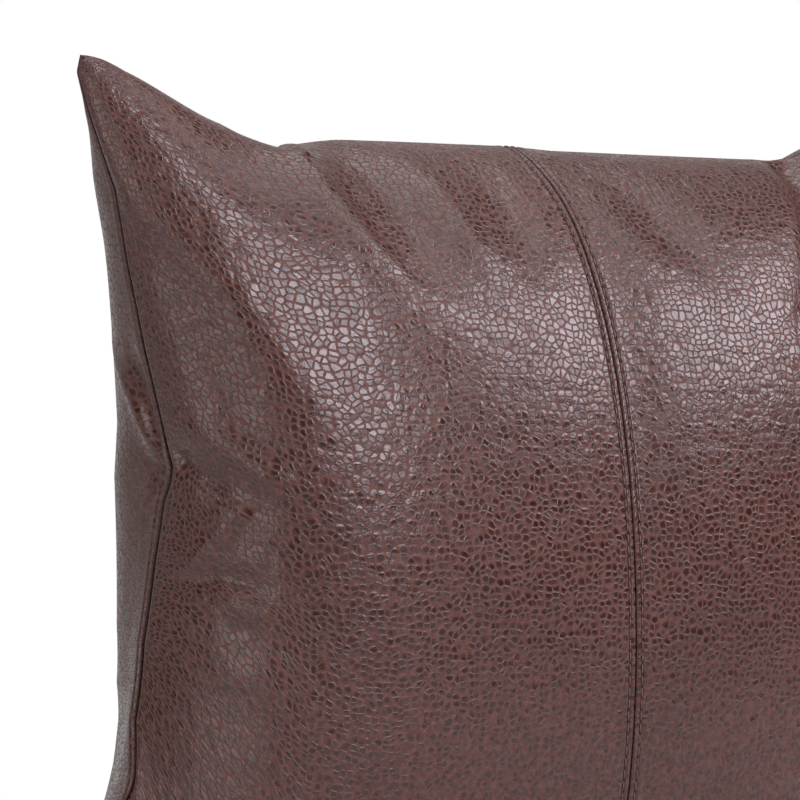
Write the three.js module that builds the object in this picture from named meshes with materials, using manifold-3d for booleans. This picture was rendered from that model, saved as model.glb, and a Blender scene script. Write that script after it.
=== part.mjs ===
// A square throw pillow standing on its lower edge: a pebble-grained leather cover with a seam down the
// middle of its front, a hidden zip along the bottom, and a stuffed insert inside.
//
// Millimetres, +X to the pillow's left as it faces the reader, +Z up, and its front faces -Y.
import * as THREE from 'three';
import { mergeVertices } from 'three/addons/utils/BufferGeometryUtils.js';
import Module from 'manifold-3d';

const wasm = await Module();
wasm.setup();

// Outline of the filled cover.
const HALF_WIDTH = 212; // centre to the tip of an ear
const SIDE_PULL = 37; // how far the side seams draw in half way up
const BULGE_HEIGHT = 153; // floor to the fullest part
const TOP_RISE = 195; // fullest part to the middle of the top seam
const EAR_RISE = 30; // ear tip above the middle of the top seam
const EAR_START = 0.6; // where the top seam begins to climb, as a share of the half width
const TOP_LEAN = 7; // the top seam leans back by this much
const FRONT_DEPTH = 87;
const BACK_DEPTH = 97;
const BELLY_DROP = 160; // fullest part to the lowest part, before the floor flattens it

// How full the cover is between its seams.
const SIDE_POWER = 2.7;
const LOWER_SIDE_POWER = 6;
const TOP_POWER = 2.3;
const ROUNDNESS = 0.52;
const BELLY_POWER = 6;
const TUCK_START = 0.5; // share of the lower half at which the side seams turn under to the back
const TURN_START = 0.85; // share at which the seam turns from upright to the zip's slope

// The bottom seam lies behind the resting face, this far round the lower outline from the front.
const SEAM_ANGLE = THREE.MathUtils.degToRad(130);
const OUTLINE_POWER = 2.3;
const OUTLINE_BEND = 2 / OUTLINE_POWER;

// Cover layers.
const LEATHER = 1.2;
const GAP = 0.3; // clearance between pieces that touch
const DOUBLED_WIDTH = 10; // folded edge beside the centre seam
const DOUBLED = 2 * LEATHER + 0.2; // thickness of the folded edge, with the glue between its layers
const ALLOWANCE_WIDTH = 10;
const ALLOWANCE_INSET = 0.9; // turned-in edges stop this far short of the seam's outer line
const ALLOWANCE_APART = 0.6; // and lie this far each side of it
const TOPSTITCH_OFFSET = 3.2;
const TOPSTITCH_DEPTH = 0.1;
const TOPSTITCH_START = -0.95;
const GROOVE_WIDTH = 1.9;
const GROOVE_DEPTH = 1;
const GROOVE_WALL = 0.15;
const EDGE_ROUNDING = 0.35;
const THREAD = 0.6;
const SEAM_THREAD_DEPTH = 3;

// Insert.
const INSERT_FACE = 4;
const INSERT_EDGE = 20;
const INSERT_BASE = 12;
const CASING = 0.8;
const CASING_CLEARANCE = 0.7; // between the casing and what it holds
const FILL_EDGE = 4.5; // the filling stops this far inside the casing's seams
const FILL_THINNEST = 0.4; // half the filling's thickness at its edge

// Care label: where it lies on the back panel, as shares of the cover, and its depth inside.
const LABEL_COLUMNS = [0.4, 0.45, 0.5, 0.55];
const LABEL_ROWS = [-0.7, -0.64, -0.58, -0.52, -0.46];
const LABEL_DEPTHS = [2.3, 2.7];

// Zip.
const CHANNEL_HALF = 5;
const CHANNEL_END = 152;
const TAPE_END = 158;
const TAPE_EDGE = 9.8;
const TAPE_NEAR = 3.4; // depth of the tape under the leather's outer face
const TAPE_THICKNESS = 0.5;
const TAPE_INNER_EDGE = 0.9;
const COIL_END = 146;
const COIL_PITCH = 4;
const COIL_OUTER = 2.6; // distances of the coil's edges from the middle of the zip
const COIL_VALLEY = 1.5;
const COIL_CREST = 0.8;
const COIL_NEAR = 0.6; // depth of the coils under the leather's outer face
const COIL_THICKNESS = 2.1;
const STOP_HALF_LENGTH = 1.15;
const STOP_HALF_WIDTH = 2.5;
const STOP_NEAR = 0.4;
const STOP_BEVEL = 0.3;
const STOP_BEYOND_COIL = 2.2;
const SLIDER_LENGTH = 9;
const SLIDER_HALF_WIDTH = 4;
const SLIDER_TAIL = 2.6; // half width of its narrow end
const SLIDER_OUTER_PLATE = [-0.9, 0.2];
const SLIDER_INNER_PLATE = [4.3, 5.1];
const BAIL_THICKNESS = 1.8;
const TAB_THICKNESS = 1;
const SLIDER_REST = 142;
const HINGE_HEIGHT = 1.95; // pull-tab axis above the leather's outer face
const ZIP_STITCH_FRONT = 0.0275; // distances from the bottom seam, as shares of the panel
const ZIP_STITCH_BACK = 0.07;
const ZIP_STITCH_SPREAD = 0.08; // width of the stitch row, as a share of that distance
const CHANNEL_DEPTH = 6;

const MATERIALS = {
  leather: [0x5f4340, 0.42, 0],
  thread: [0x4a312d, 0.7, 0],
  tape: [0x3a2926, 0.9, 0],
  coil: [0x46322e, 0.5, 0],
  metal: [0x8a7a66, 0.35, 1],
  casing: [0xeeeae2, 0.95, 0],
  fill: [0xf6f4ef, 1, 0],
  label: [0xf2efe8, 0.9, 0],
};

const smooth = (t) => THREE.MathUtils.smoothstep(t, 0, 1);

// Surfaces nested inside the cover's outer face. Each is inset by face on the broad sides, by edge at the
// seams and by base underneath.
const coverLayer = (inset) => ({ face: inset, edge: inset, base: inset });
const insertLayer = (inset) => ({
  face: INSERT_FACE + inset,
  edge: INSERT_EDGE + inset,
  base: INSERT_BASE + inset,
});
const OUTSIDE = coverLayer(0);

/** The bottom seam's place and slope on the lower outline of a nested surface. */
function bottomSeam({ face, base }) {
  const reach = Math.abs(Math.cos(SEAM_ANGLE)) ** OUTLINE_BEND;
  const fall = Math.sin(SEAM_ANGLE) ** OUTLINE_BEND;
  const depth = BACK_DEPTH - face;
  const drop = BELLY_DROP - base;
  return {
    y: depth * reach,
    z: BULGE_HEIGHT - drop * fall,
    tilt: Math.atan2(reach ** (OUTLINE_POWER - 1) / depth, fall ** (OUTLINE_POWER - 1) / drop),
  };
}

const BOTTOM = bottomSeam(OUTSIDE);

/**
 * A point of the cover, or of a surface nested inside it.
 * u runs from side seam to side seam and v from the bottom seam to the top seam, both -1 to 1.
 * side is -1 on the front, 1 on the back and 0 on the seam surface between them.
 */
function pillowPoint(u, v, side, layer) {
  const across = Math.abs(u);
  const x = u * (HALF_WIDTH - layer.edge - SIDE_PULL * across ** 2 * (1 - v * v));
  return v >= 0 ? upperPoint(x, across, v, side, layer) : lowerPoint(x, across, -v, side, layer);
}

function upperPoint(x, across, v, side, { face, edge }) {
  const depth = (side < 0 ? FRONT_DEPTH : BACK_DEPTH) - face;
  const fullness = ((1 - across ** SIDE_POWER) * (1 - v ** TOP_POWER)) ** ROUNDNESS;
  const ear = EAR_RISE * smooth((across - EAR_START) / (1 - EAR_START)) * v ** 3;
  const y = side * depth * fullness + TOP_LEAN * v * v * (1 - across ** 2);
  return new THREE.Vector3(x, y, BULGE_HEIGHT + v * (TOP_RISE - edge) + ear);
}

function lowerPoint(x, across, fall, side, layer) {
  const { face, base } = layer;
  const seam = bottomSeam(layer);
  const seamZ = BULGE_HEIGHT - fall * (BULGE_HEIGHT - seam.z);
  const power = THREE.MathUtils.lerp(SIDE_POWER, LOWER_SIDE_POWER, smooth(fall));
  const fullness = (1 - across ** power) ** ROUNDNESS;
  const tuck = smooth((fall - TUCK_START) / (1 - TUCK_START));
  if (side === 0) return new THREE.Vector3(x, seam.y * tuck, seamZ);
  const angle = side < 0 ? fall * SEAM_ANGLE : Math.PI - fall * (Math.PI - SEAM_ANGLE);
  const cosine = Math.cos(angle);
  const depth = (cosine > 0 ? FRONT_DEPTH : BACK_DEPTH) - face;
  const outlineY = -Math.sign(cosine) * Math.abs(cosine) ** OUTLINE_BEND * depth;
  const outlineZ = BULGE_HEIGHT - (BELLY_DROP - base) * Math.sin(angle) ** OUTLINE_BEND;
  const belly = Math.sqrt(1 - across ** BELLY_POWER);
  const y = outlineY * fullness + seam.y * (1 - fullness) * tuck;
  const z = THREE.MathUtils.lerp(seamZ, outlineZ, belly);
  return new THREE.Vector3(x, y, Math.max(z, face));
}

/** Moves a point across the seam, towards the front when distance is negative. */
function acrossSeam(point, v, distance) {
  const turn = v < 0 ? BOTTOM.tilt * smooth((-v - TURN_START) / (1 - TURN_START)) : 0;
  point.y += distance * Math.cos(turn);
  point.z += distance * Math.sin(turn);
  return point;
}

/** A closed body between two grids of points: point(i, j, layer) for layers 0 and 1. */
function slab(columns, rows, point) {
  const positions = [];
  for (let layer = 0; layer < 2; layer++) {
    for (let j = 0; j <= rows; j++) {
      for (let i = 0; i <= columns; i++) positions.push(...point(i, j, layer).toArray());
    }
  }
  const at = (i, j, layer) => (layer * (rows + 1) + j) * (columns + 1) + i;
  const triangles = [];
  const quad = (a, b, c, d) => triangles.push(a, b, c, a, c, d);
  for (let j = 0; j < rows; j++) {
    for (let i = 0; i < columns; i++) {
      quad(at(i, j, 0), at(i + 1, j, 0), at(i + 1, j + 1, 0), at(i, j + 1, 0));
      quad(at(i, j, 1), at(i, j + 1, 1), at(i + 1, j + 1, 1), at(i + 1, j, 1));
    }
  }
  for (let i = 0; i < columns; i++) {
    quad(at(i, 0, 0), at(i, 0, 1), at(i + 1, 0, 1), at(i + 1, 0, 0));
    quad(at(i, rows, 0), at(i + 1, rows, 0), at(i + 1, rows, 1), at(i, rows, 1));
  }
  for (let j = 0; j < rows; j++) {
    quad(at(0, j, 0), at(0, j + 1, 0), at(0, j + 1, 1), at(0, j, 1));
    quad(at(columns, j, 0), at(columns, j, 1), at(columns, j + 1, 1), at(columns, j + 1, 0));
  }
  const geometry = new THREE.BufferGeometry();
  geometry.setAttribute('position', new THREE.Float32BufferAttribute(positions, 3));
  geometry.setIndex(signedVolume(positions, triangles) < 0 ? triangles.reverse() : triangles);
  return geometry;
}

function signedVolume(positions, triangles) {
  const corner = (index) => new THREE.Vector3().fromArray(positions, 3 * index);
  let volume = 0;
  for (let k = 0; k < triangles.length; k += 3) {
    const [a, b, c] = [0, 1, 2].map((offset) => corner(triangles[k + offset]));
    volume += a.dot(b.cross(c)) / 6;
  }
  return volume;
}

/** Geometry to a manifold solid, for joins and cuts. */
function solid(geometry) {
  const bare = new THREE.BufferGeometry();
  bare.setAttribute('position', geometry.getAttribute('position').clone());
  if (geometry.index) bare.setIndex(geometry.index.clone());
  const merged = mergeVertices(bare, 1e-4);
  const vertProperties = new Float32Array(merged.getAttribute('position').array);
  const triVerts = new Uint32Array(merged.index.array);
  return new wasm.Manifold(new wasm.Mesh({ numProp: 3, vertProperties, triVerts }));
}

function fromSolid(manifold) {
  const mesh = manifold.getMesh();
  const geometry = new THREE.BufferGeometry();
  geometry.setAttribute('position', new THREE.BufferAttribute(new Float32Array(mesh.vertProperties), 3));
  geometry.setIndex(new THREE.BufferAttribute(new Uint32Array(mesh.triVerts), 1));
  return geometry;
}

const joined = (geometries) => geometries.map(solid).reduce((whole, piece) => whole.add(piece));

function piece(name, geometry, materialName) {
  const [color, roughness, metalness] = MATERIALS[materialName];
  const mesh = new THREE.Mesh(geometry, new THREE.MeshStandardMaterial({ color, roughness, metalness }));
  mesh.name = name;
  return mesh;
}

/** Values from start to end, drawn together towards the end where the surface turns sharply. */
function crowded(start, end, count, strength) {
  const value = (_, k) => start + (end - start) * (1 - (1 - k / count) ** strength);
  return Array.from({ length: count + 1 }, value);
}

// Stations up the cover, from the bottom seam to the top seam.
const LOWER_STATIONS = Array.from({ length: 13 }, (_, k) => -1 + k / 13);
const STATIONS = [...LOWER_STATIONS, ...crowded(0, 1, 12, 2.2)];
const FRONT_COLUMNS = crowded(0.075, 1, 8, 1.7);
const HALF_COLUMNS = crowded(0, 1, 10, 1.7);
const BACK_COLUMNS = [...HALF_COLUMNS.slice(1).reverse().map((u) => -u), ...HALF_COLUMNS];
const ZIP_TOP_STATION = -0.85; // the zip's tapes lie below this station
const RIM_START = -0.35; // turned-in edges and seam thread begin above this station
const ALLOWANCE_CORNER = 0.9; // the seam allowances are clipped before the ears' tips
const THREAD_CORNER = 0.985; // and the seam thread just before them

// Stretches of the seam line, as u and v, up to a chosen distance from the ear's tip.
const sideRim = (corner) => STATIONS.filter((v) => v > RIM_START && v < corner).map((v) => [-1, v]);
const topRim = (corner) => BACK_COLUMNS.filter((u) => u > -corner && u < 0).map((u) => [u, 1]);
const otherHalf = (rim) => rim.map(([u, v]) => [-u, v]).reverse();

/** The seam line over both halves. */
function wholeRim() {
  const half = [...sideRim(THREAD_CORNER), ...topRim(THREAD_CORNER)];
  return [...half, [0, 1], ...otherHalf(half)];
}

/** A strip that follows the seam line, between two insets and two distances across the seam. */
function rimStrip(path, [near, far], [start, end]) {
  return slab(path.length - 1, 1, (i, j, layer) => {
    const [u, v] = path[i];
    const point = pillowPoint(u, v, 0, coverLayer(j ? far : near));
    return acrossSeam(point, v, layer ? end : start);
  });
}

/** One panel's turned-in edge beside the seam line. */
function allowance(rim, side) {
  const start = side * ALLOWANCE_APART;
  return rimStrip(rim, [ALLOWANCE_INSET, ALLOWANCE_WIDTH], [start, start + side * LEATHER]);
}

/** Thread along the seam line, inside the cover or the insert. */
function rimThread(inset) {
  return rimStrip(wholeRim(), [inset, inset + THREAD], [-THREAD / 2, THREAD / 2]);
}

/** Box that opens the bottom seam for the zip, in the cover's frame. */
function zipChannel() {
  const box = new THREE.BoxGeometry(2 * CHANNEL_END, 2 * CHANNEL_HALF, CHANNEL_DEPTH);
  box.rotateX(BOTTOM.tilt);
  return box.translate(0, BOTTOM.y, BOTTOM.z);
}

/** Half of the front: its folded edge at the centre seam is doubled, with a groove for the topstitch. */
function frontPanel(direction) {
  const grooveStart = TOPSTITCH_OFFSET - GROOVE_WIDTH / 2;
  const grooveEnd = TOPSTITCH_OFFSET + GROOVE_WIDTH / 2;
  const strip = [
    { x: GAP / 2, outer: EDGE_ROUNDING, inner: DOUBLED },
    { x: 1, outer: 0, inner: DOUBLED },
    { x: grooveStart, outer: 0, inner: DOUBLED },
    { x: grooveStart + GROOVE_WALL, outer: GROOVE_DEPTH, inner: DOUBLED },
    { x: grooveEnd - GROOVE_WALL, outer: GROOVE_DEPTH, inner: DOUBLED },
    { x: grooveEnd, outer: 0, inner: DOUBLED },
    { x: DOUBLED_WIDTH, outer: 0, inner: DOUBLED },
    { x: DOUBLED_WIDTH + 0.6, outer: 0, inner: LEATHER },
  ].map(({ x, outer, inner }) => ({ u: x / HALF_WIDTH, outer, inner }));
  const field = FRONT_COLUMNS.map((u) => ({ u, outer: 0, inner: LEATHER }));
  const columns = [...strip, ...field];
  const shell = slab(columns.length - 1, STATIONS.length - 1, (i, j, layer) => {
    const { u, outer, inner } = columns[i];
    const v = STATIONS[j];
    const under = v < ZIP_TOP_STATION ? LEATHER : inner;
    return acrossSeam(pillowPoint(-u, v, -1, coverLayer(layer ? under : outer)), v, -GAP / 2);
  });
  const top = [...topRim(ALLOWANCE_CORNER), [-GAP / 2 / HALF_WIDTH, 1]];
  const allowances = [sideRim(ALLOWANCE_CORNER), top].map((rim) => allowance(rim, -1));
  const panel = fromSolid(joined([shell, ...allowances]).subtract(solid(zipChannel())));
  return direction < 0 ? panel : mirrored(panel);
}

function mirrored(geometry) {
  const flipped = geometry.clone().scale(-1, 1, 1);
  flipped.setIndex(Array.from(flipped.index.array).reverse());
  return flipped;
}

function backPanel() {
  const shell = slab(BACK_COLUMNS.length - 1, STATIONS.length - 1, (i, j, layer) => {
    const point = pillowPoint(BACK_COLUMNS[i], STATIONS[j], 1, coverLayer(layer ? LEATHER : 0));
    return acrossSeam(point, STATIONS[j], GAP / 2);
  });
  const left = sideRim(ALLOWANCE_CORNER);
  const leftTop = topRim(ALLOWANCE_CORNER);
  const top = [...leftTop, [0, 1], ...otherHalf(leftTop)];
  const allowances = [left, top, otherHalf(left)].map((rim) => allowance(rim, 1));
  return fromSolid(joined([shell, ...allowances]).subtract(solid(zipChannel())));
}

/** Thread that runs up the front at a distance from the centre line, at a depth in the cover. */
function frontThread(centre, depth, lowest) {
  const stations = STATIONS.filter((v) => v > lowest && v < 1);
  return slab(1, stations.length - 1, (i, j, layer) => {
    const u = (centre + (i - 0.5) * THREAD) / HALF_WIDTH;
    return pillowPoint(u, stations[j], -1, coverLayer(depth + layer * THREAD));
  });
}

function coverPieces() {
  return [
    piece('front_left_panel', frontPanel(-1), 'leather'),
    piece('front_right_panel', frontPanel(1), 'leather'),
    piece('back_panel', backPanel(), 'leather'),
    piece('centre_seam_thread', frontThread(0, DOUBLED + GAP, ZIP_TOP_STATION), 'thread'),
    piece('topstitch_left', frontThread(-TOPSTITCH_OFFSET, TOPSTITCH_DEPTH, TOPSTITCH_START), 'thread'),
    piece('topstitch_right', frontThread(TOPSTITCH_OFFSET, TOPSTITCH_DEPTH, TOPSTITCH_START), 'thread'),
    piece('perimeter_seam_thread', rimThread(SEAM_THREAD_DEPTH), 'thread'),
    piece('zipper_stitch_front', zipStitch(-1, ZIP_STITCH_FRONT), 'thread'),
    piece('zipper_stitch_back', zipStitch(1, ZIP_STITCH_BACK), 'thread'),
    piece('care_label', careLabel(), 'label'),
  ];
}

/** Blank label, tucked between the back panel and the insert above the zip. */
function careLabel() {
  return slab(LABEL_COLUMNS.length - 1, LABEL_ROWS.length - 1, (i, j, layer) => {
    return pillowPoint(LABEL_COLUMNS[i], LABEL_ROWS[j], 1, coverLayer(LABEL_DEPTHS[layer]));
  });
}

/** One face of the insert's cotton casing. */
function casing(side) {
  return slab(BACK_COLUMNS.length - 1, STATIONS.length - 1, (i, j, layer) => {
    const point = pillowPoint(BACK_COLUMNS[i], STATIONS[j], side, insertLayer(layer ? CASING : 0));
    return acrossSeam(point, STATIONS[j], side * (GAP / 2));
  });
}

function filling() {
  const inside = { ...insertLayer(CASING + CASING_CLEARANCE), edge: INSERT_EDGE + CASING + FILL_EDGE };
  return slab(BACK_COLUMNS.length - 1, STATIONS.length - 1, (i, j, layer) => {
    const side = layer ? 1 : -1;
    const point = pillowPoint(BACK_COLUMNS[i], STATIONS[j], side, inside);
    return acrossSeam(point, STATIONS[j], side * FILL_THINNEST);
  });
}

function insertPieces() {
  return [
    piece('insert_casing_front', casing(-1), 'casing'),
    piece('insert_casing_back', casing(1), 'casing'),
    piece('insert_fill', filling(), 'fill'),
    piece('insert_seam_thread', rimThread(INSERT_EDGE + CASING + CASING_CLEARANCE), 'thread'),
  ];
}

// The zip is drawn in the bottom seam's own frame: X along it, Y across it towards the back panel, and
// Z inwards, with zero at the leather's outer face.

function block([x0, x1], [y0, y1], [z0, z1]) {
  const box = new THREE.BoxGeometry(x1 - x0, y1 - y0, z1 - z0);
  return box.translate((x0 + x1) / 2, (y0 + y1) / 2, (z0 + z1) / 2);
}

function tape(side) {
  const across = side < 0 ? [-TAPE_EDGE, -TAPE_INNER_EDGE] : [TAPE_INNER_EDGE, TAPE_EDGE];
  return block([-TAPE_END, TAPE_END], across, [TAPE_NEAR, TAPE_NEAR + TAPE_THICKNESS]);
}

/** A row of coil turns on one tape: a bar with rounded humps towards the middle. */
function coil(side) {
  const outline = new THREE.Shape();
  const turns = Math.round((2 * COIL_END) / COIL_PITCH);
  outline.moveTo(-COIL_END, COIL_OUTER);
  outline.lineTo(-COIL_END, COIL_VALLEY);
  for (let k = 0; k < turns; k++) {
    const start = -COIL_END + k * COIL_PITCH;
    outline.lineTo(start + 0.3 * COIL_PITCH, COIL_CREST);
    outline.lineTo(start + 0.7 * COIL_PITCH, COIL_CREST);
    outline.lineTo(start + COIL_PITCH, COIL_VALLEY);
  }
  outline.lineTo(COIL_END, COIL_OUTER);
  outline.closePath();
  const bar = new THREE.ExtrudeGeometry(outline, { depth: COIL_THICKNESS, bevelEnabled: false });
  bar.translate(0, 0, COIL_NEAR);
  return side > 0 ? bar : bar.rotateZ(Math.PI);
}

/** A pressed metal clip across both coils at one end of the zip. */
function endStop(direction) {
  const outline = new THREE.Shape();
  outline.absellipse(0, 0, STOP_HALF_LENGTH, STOP_HALF_WIDTH, 0, 2 * Math.PI, false, 0);
  const bevel = { bevelThickness: STOP_BEVEL, bevelSize: STOP_BEVEL, bevelSegments: 1 };
  const options = { depth: COIL_THICKNESS, curveSegments: 8, ...bevel };
  const clip = new THREE.ExtrudeGeometry(outline, options);
  return clip.translate(direction * (COIL_END + STOP_BEYOND_COIL), 0, STOP_NEAR);
}

/** Outline of a slider plate: broad shoulders where the coils part and a narrower tail. */
function sliderOutline() {
  const half = SLIDER_LENGTH / 2;
  const wide = SLIDER_HALF_WIDTH;
  const corner = 1.2;
  const outline = new THREE.Shape();
  outline.moveTo(-half, -SLIDER_TAIL);
  outline.lineTo(-half, SLIDER_TAIL);
  outline.quadraticCurveTo(-half + 3, 3.2, 0, wide);
  outline.lineTo(half - corner, wide);
  outline.quadraticCurveTo(half, wide, half, wide - corner);
  outline.lineTo(half, corner - wide);
  outline.quadraticCurveTo(half, -wide, half - corner, -wide);
  outline.lineTo(0, -wide);
  outline.quadraticCurveTo(-half + 3, -3.2, -half, -SLIDER_TAIL);
  return outline;
}

function plate(outline, [start, end]) {
  const options = { depth: end - start, bevelEnabled: false, curveSegments: 4 };
  const geometry = new THREE.ExtrudeGeometry(outline, options);
  return geometry.translate(0, 0, start);
}

/** The bow on the slider that the pull tab's bar turns in. */
function bail() {
  const outline = new THREE.Shape();
  outline.moveTo(-2.9, 0);
  outline.lineTo(-2.9, 2.2);
  outline.quadraticCurveTo(-2.7, 3.1, -1.6, 3.1);
  outline.lineTo(1.6, 3.1);
  outline.quadraticCurveTo(2.7, 3.1, 2.9, 2.2);
  outline.lineTo(2.9, 0);
  outline.lineTo(1.9, 0);
  outline.lineTo(1.9, 2.1);
  outline.lineTo(-1.9, 2.1);
  outline.lineTo(-1.9, 0);
  outline.closePath();
  const options = { depth: BAIL_THICKNESS, bevelEnabled: false, curveSegments: 3 };
  const bow = new THREE.ExtrudeGeometry(outline, options);
  return bow.translate(0, 0, -BAIL_THICKNESS / 2).rotateX(-Math.PI / 2).translate(0, 0, -0.8);
}

function slider() {
  const parts = [
    plate(sliderOutline(), SLIDER_OUTER_PLATE),
    plate(sliderOutline(), SLIDER_INNER_PLATE),
    block([-2, 2], [-0.4, 0.4], [0, 4.5]),
    block([0.2, 3.2], [-3.9, -3.3], [0, 2.6]),
    block([0.2, 3.2], [3.3, 3.9], [0, 2.6]),
    bail(),
  ];
  return fromSolid(joined(parts));
}

/** Pull tab with a window for the bail beside its hinge bar, and a long slot in its grip. */
function pullTab() {
  const outline = new THREE.Shape();
  outline.moveTo(0.5, -2.6);
  outline.lineTo(0.5, 2.6);
  outline.quadraticCurveTo(-4, 2.6, -8, 3.4);
  outline.lineTo(-22, 3.6);
  outline.quadraticCurveTo(-26, 3.6, -26, 0);
  outline.quadraticCurveTo(-26, -3.6, -22, -3.6);
  outline.lineTo(-8, -3.4);
  outline.quadraticCurveTo(-4, -2.6, 0.5, -2.6);
  outline.holes.push(slot(-3.9, -0.5, 1.4), slot(-22.5, -9, 1.9));
  return plate(outline, [-TAB_THICKNESS / 2, TAB_THICKNESS / 2]);
}

function slot(start, end, half) {
  const hole = new THREE.Path();
  hole.moveTo(start, -half);
  hole.lineTo(end, -half);
  hole.lineTo(end, half);
  hole.lineTo(start, half);
  hole.closePath();
  return hole;
}

/** A row of stitches that holds a folded leather edge to the zip's tape, on top of the leather. */
function zipStitch(side, rise) {
  return slab(12, 1, (i, j, layer) => {
    const u = (CHANNEL_END / HALF_WIDTH) * (i / 6 - 1);
    const width = j * rise * ZIP_STITCH_SPREAD;
    return pillowPoint(u, -1 + rise + width, side, coverLayer(-GAP - layer * THREAD));
  });
}

function zip() {
  const frame = new THREE.Group();
  frame.position.set(0, BOTTOM.y, BOTTOM.z);
  frame.rotation.x = BOTTOM.tilt;
  frame.add(
    piece('zipper_tape_front', tape(-1), 'tape'),
    piece('zipper_tape_back', tape(1), 'tape'),
    piece('zipper_coil_front', coil(-1), 'coil'),
    piece('zipper_coil_back', coil(1), 'coil'),
    piece('zipper_top_stop', endStop(1), 'metal'),
    piece('zipper_bottom_stop', endStop(-1), 'metal'),
  );
  const carriage = new THREE.Group();
  carriage.position.x = SLIDER_REST;
  const pull = piece('zipper_pull_tab', pullTab(), 'metal');
  pull.position.z = -HINGE_HEIGHT;
  carriage.add(piece('zipper_slider', slider(), 'metal'), pull);
  frame.add(carriage);
  return frame;
}

const group = new THREE.Group();
group.add(...coverPieces(), ...insertPieces(), zip());

// The floor stays at zero, and the box round the pillow is centred over the origin.
group.updateMatrixWorld(true);
const middle = new THREE.Box3().setFromObject(group).getCenter(new THREE.Vector3());
group.position.set(-middle.x, -middle.y, 0);

export default group;
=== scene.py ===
"""A pebble-grained leather throw pillow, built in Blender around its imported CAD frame."""
import math

import bpy
import numpy as np
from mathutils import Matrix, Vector


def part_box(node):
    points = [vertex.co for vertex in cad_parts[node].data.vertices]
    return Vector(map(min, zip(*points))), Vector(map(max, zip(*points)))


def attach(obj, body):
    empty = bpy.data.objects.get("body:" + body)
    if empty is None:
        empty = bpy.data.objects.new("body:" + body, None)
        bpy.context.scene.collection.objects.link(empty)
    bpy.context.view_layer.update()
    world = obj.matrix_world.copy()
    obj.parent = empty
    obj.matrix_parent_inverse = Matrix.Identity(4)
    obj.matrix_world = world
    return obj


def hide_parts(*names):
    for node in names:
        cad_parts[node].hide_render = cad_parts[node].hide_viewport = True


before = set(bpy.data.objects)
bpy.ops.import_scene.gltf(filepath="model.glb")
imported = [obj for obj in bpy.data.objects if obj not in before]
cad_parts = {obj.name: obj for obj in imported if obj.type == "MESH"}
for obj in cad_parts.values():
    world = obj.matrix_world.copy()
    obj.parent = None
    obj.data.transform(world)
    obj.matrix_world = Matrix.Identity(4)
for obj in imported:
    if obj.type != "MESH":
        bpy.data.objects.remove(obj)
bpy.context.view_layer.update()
MM = 0.001

# ---------------------------------------------------------------- the filled cover's outline, in metres
PANEL_LOW, PANEL_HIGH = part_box("back_panel")
HALF_WIDTH = PANEL_HIGH.x
TIP_HEIGHT = PANEL_HIGH.z
FRONT_DEPTH, BACK_DEPTH = 87 * MM, 97 * MM
MID_Y = (FRONT_DEPTH - BACK_DEPTH) / 2
SIDE_PULL = 37 * MM
BULGE_HEIGHT = 153 * MM
EAR_RISE = 30 * MM
TOP_RISE = TIP_HEIGHT - EAR_RISE - BULGE_HEIGHT
EAR_START = 0.6
TOP_LEAN = 7 * MM
BELLY_DROP = 160 * MM
SIDE_POWER, LOWER_SIDE_POWER, TOP_POWER = 2.7, 6.0, 2.3
ROUNDNESS = 0.52
BELLY_POWER = 6.0
TUCK_START = 0.5
SEAM_ANGLE = math.radians(130)
OUTLINE_POWER = 2.3
OUTLINE_BEND = 2 / OUTLINE_POWER
ZIP_HALF = 152 * MM
CHANNEL_HALF = 5 * MM

# Columns of the front panels' mesh beside the centre seam, in millimetres from it.
CENTRE_COLUMNS = [
    0.1, 0.3, 0.55, 0.85, 1.2, 1.6, 2.0, 2.35, 2.65, 2.9,
    3.15, 3.4, 3.7, 4.1, 4.6, 5.3, 6.3, 7.8, 10,
]

FRONT, BACK = -1, 1
COVER_SIZE = 0.457  # the cover's flat size
CELLS = 56  # cloth cells along one side
LEATHER = 1.2 * MM
HALF_COVER = COVER_SIZE / 2
HEART = np.array([0, MID_Y, BULGE_HEIGHT])  # middle of the filled cover
CLOTH_CAP = 7 * MM  # how far the swelling may move a point of the cover
CLOTH_FRAMES = 22
PEBBLES_PER_METRE = 335.0

STITCH_PITCH = 4.8 * MM
STITCH_GAP = 0.9 * MM
TOPSTITCH_OFFSET = 3.2 * MM
ZIP_STITCH_OFFSET = 3.4 * MM
INSERT_REACH = 1 - 36 * MM / HALF_COVER
CASING_DEPTH, CASING_INNER, FILL_DEPTH = 5.5 * MM, 6.4 * MM, 7.2 * MM  # under the leather's outer face


def smooth(t):
    t = np.clip(t, 0, 1)
    return t * t * (3 - 2 * t)


REACH = abs(math.cos(SEAM_ANGLE)) ** OUTLINE_BEND
FALL = math.sin(SEAM_ANGLE) ** OUTLINE_BEND
SEAM_Y = BACK_DEPTH * REACH
SEAM_Z = BULGE_HEIGHT - BELLY_DROP * FALL


def upper_points(x, across, v, side):
    depth = FRONT_DEPTH if side < 0 else BACK_DEPTH
    fullness = (np.clip(1 - across**SIDE_POWER, 0, 1) * np.clip(1 - v**TOP_POWER, 0, 1)) ** ROUNDNESS
    ear = EAR_RISE * smooth((across - EAR_START) / (1 - EAR_START)) * v**3
    y = side * depth * fullness + TOP_LEAN * v * v * (1 - across**2)
    return x, y, BULGE_HEIGHT + v * TOP_RISE + ear


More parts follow.
